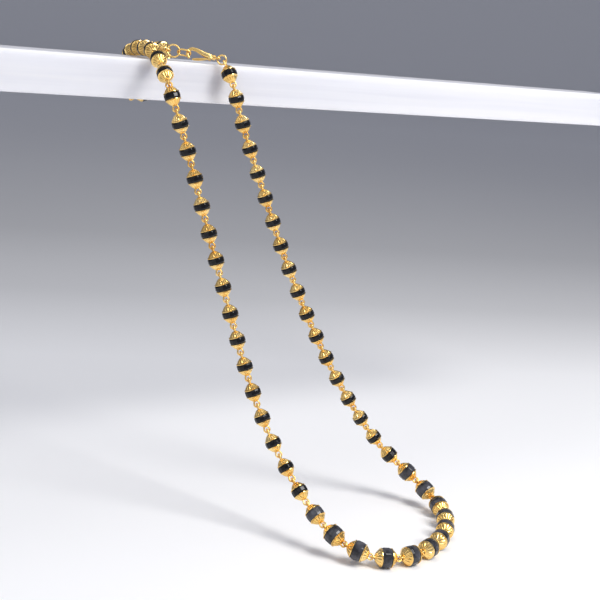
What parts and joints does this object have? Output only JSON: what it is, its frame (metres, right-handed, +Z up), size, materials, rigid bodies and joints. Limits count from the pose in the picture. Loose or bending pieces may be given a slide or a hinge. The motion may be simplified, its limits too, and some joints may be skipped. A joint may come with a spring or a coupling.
{
  "type": "mangalsutra necklace on display bar",
  "caption": "Loop of black faceted beads in gold caps joined by wire eyes, closed by a lobster clasp, draped over a plain translucent display bar with its low end lying level.",
  "frame": {"origin": "middle of the display bar's underside, where the bar is held", "axes": "+X along the bar to the viewer's right, +Y away from the viewer, +Z up"},
  "size_m": [0.274, 0.1197, 0.1484],
  "materials": {
    "milk_acrylic": "frosted milky acrylic with soft gloss",
    "black_glass": "opaque black, faceted and polished",
    "gold": "polished yellow gold"
  },
  "bodies": {
    "necklace_on_bar": {"display_bar": "milk_acrylic", "black_beads": "black_glass", "gold_links": "gold", "end_ring": "gold", "small_link": "gold", "clasp_body": "gold", "jump_ring": "gold"},
    "lever": {"clasp_lever": "gold"}
  },
  "joints": [
    {"name": "lever_hinge", "type": "hinge", "parent": "necklace_on_bar", "child": "lever", "pos_m": [-0.05793, -0.01357, 0.01417], "axis": [0.352, 0.901, -0.2536], "range_deg": [0, 16], "stiffness_Nm_per_rad": 0.0004, "springref_deg": -17.19}
  ]
}
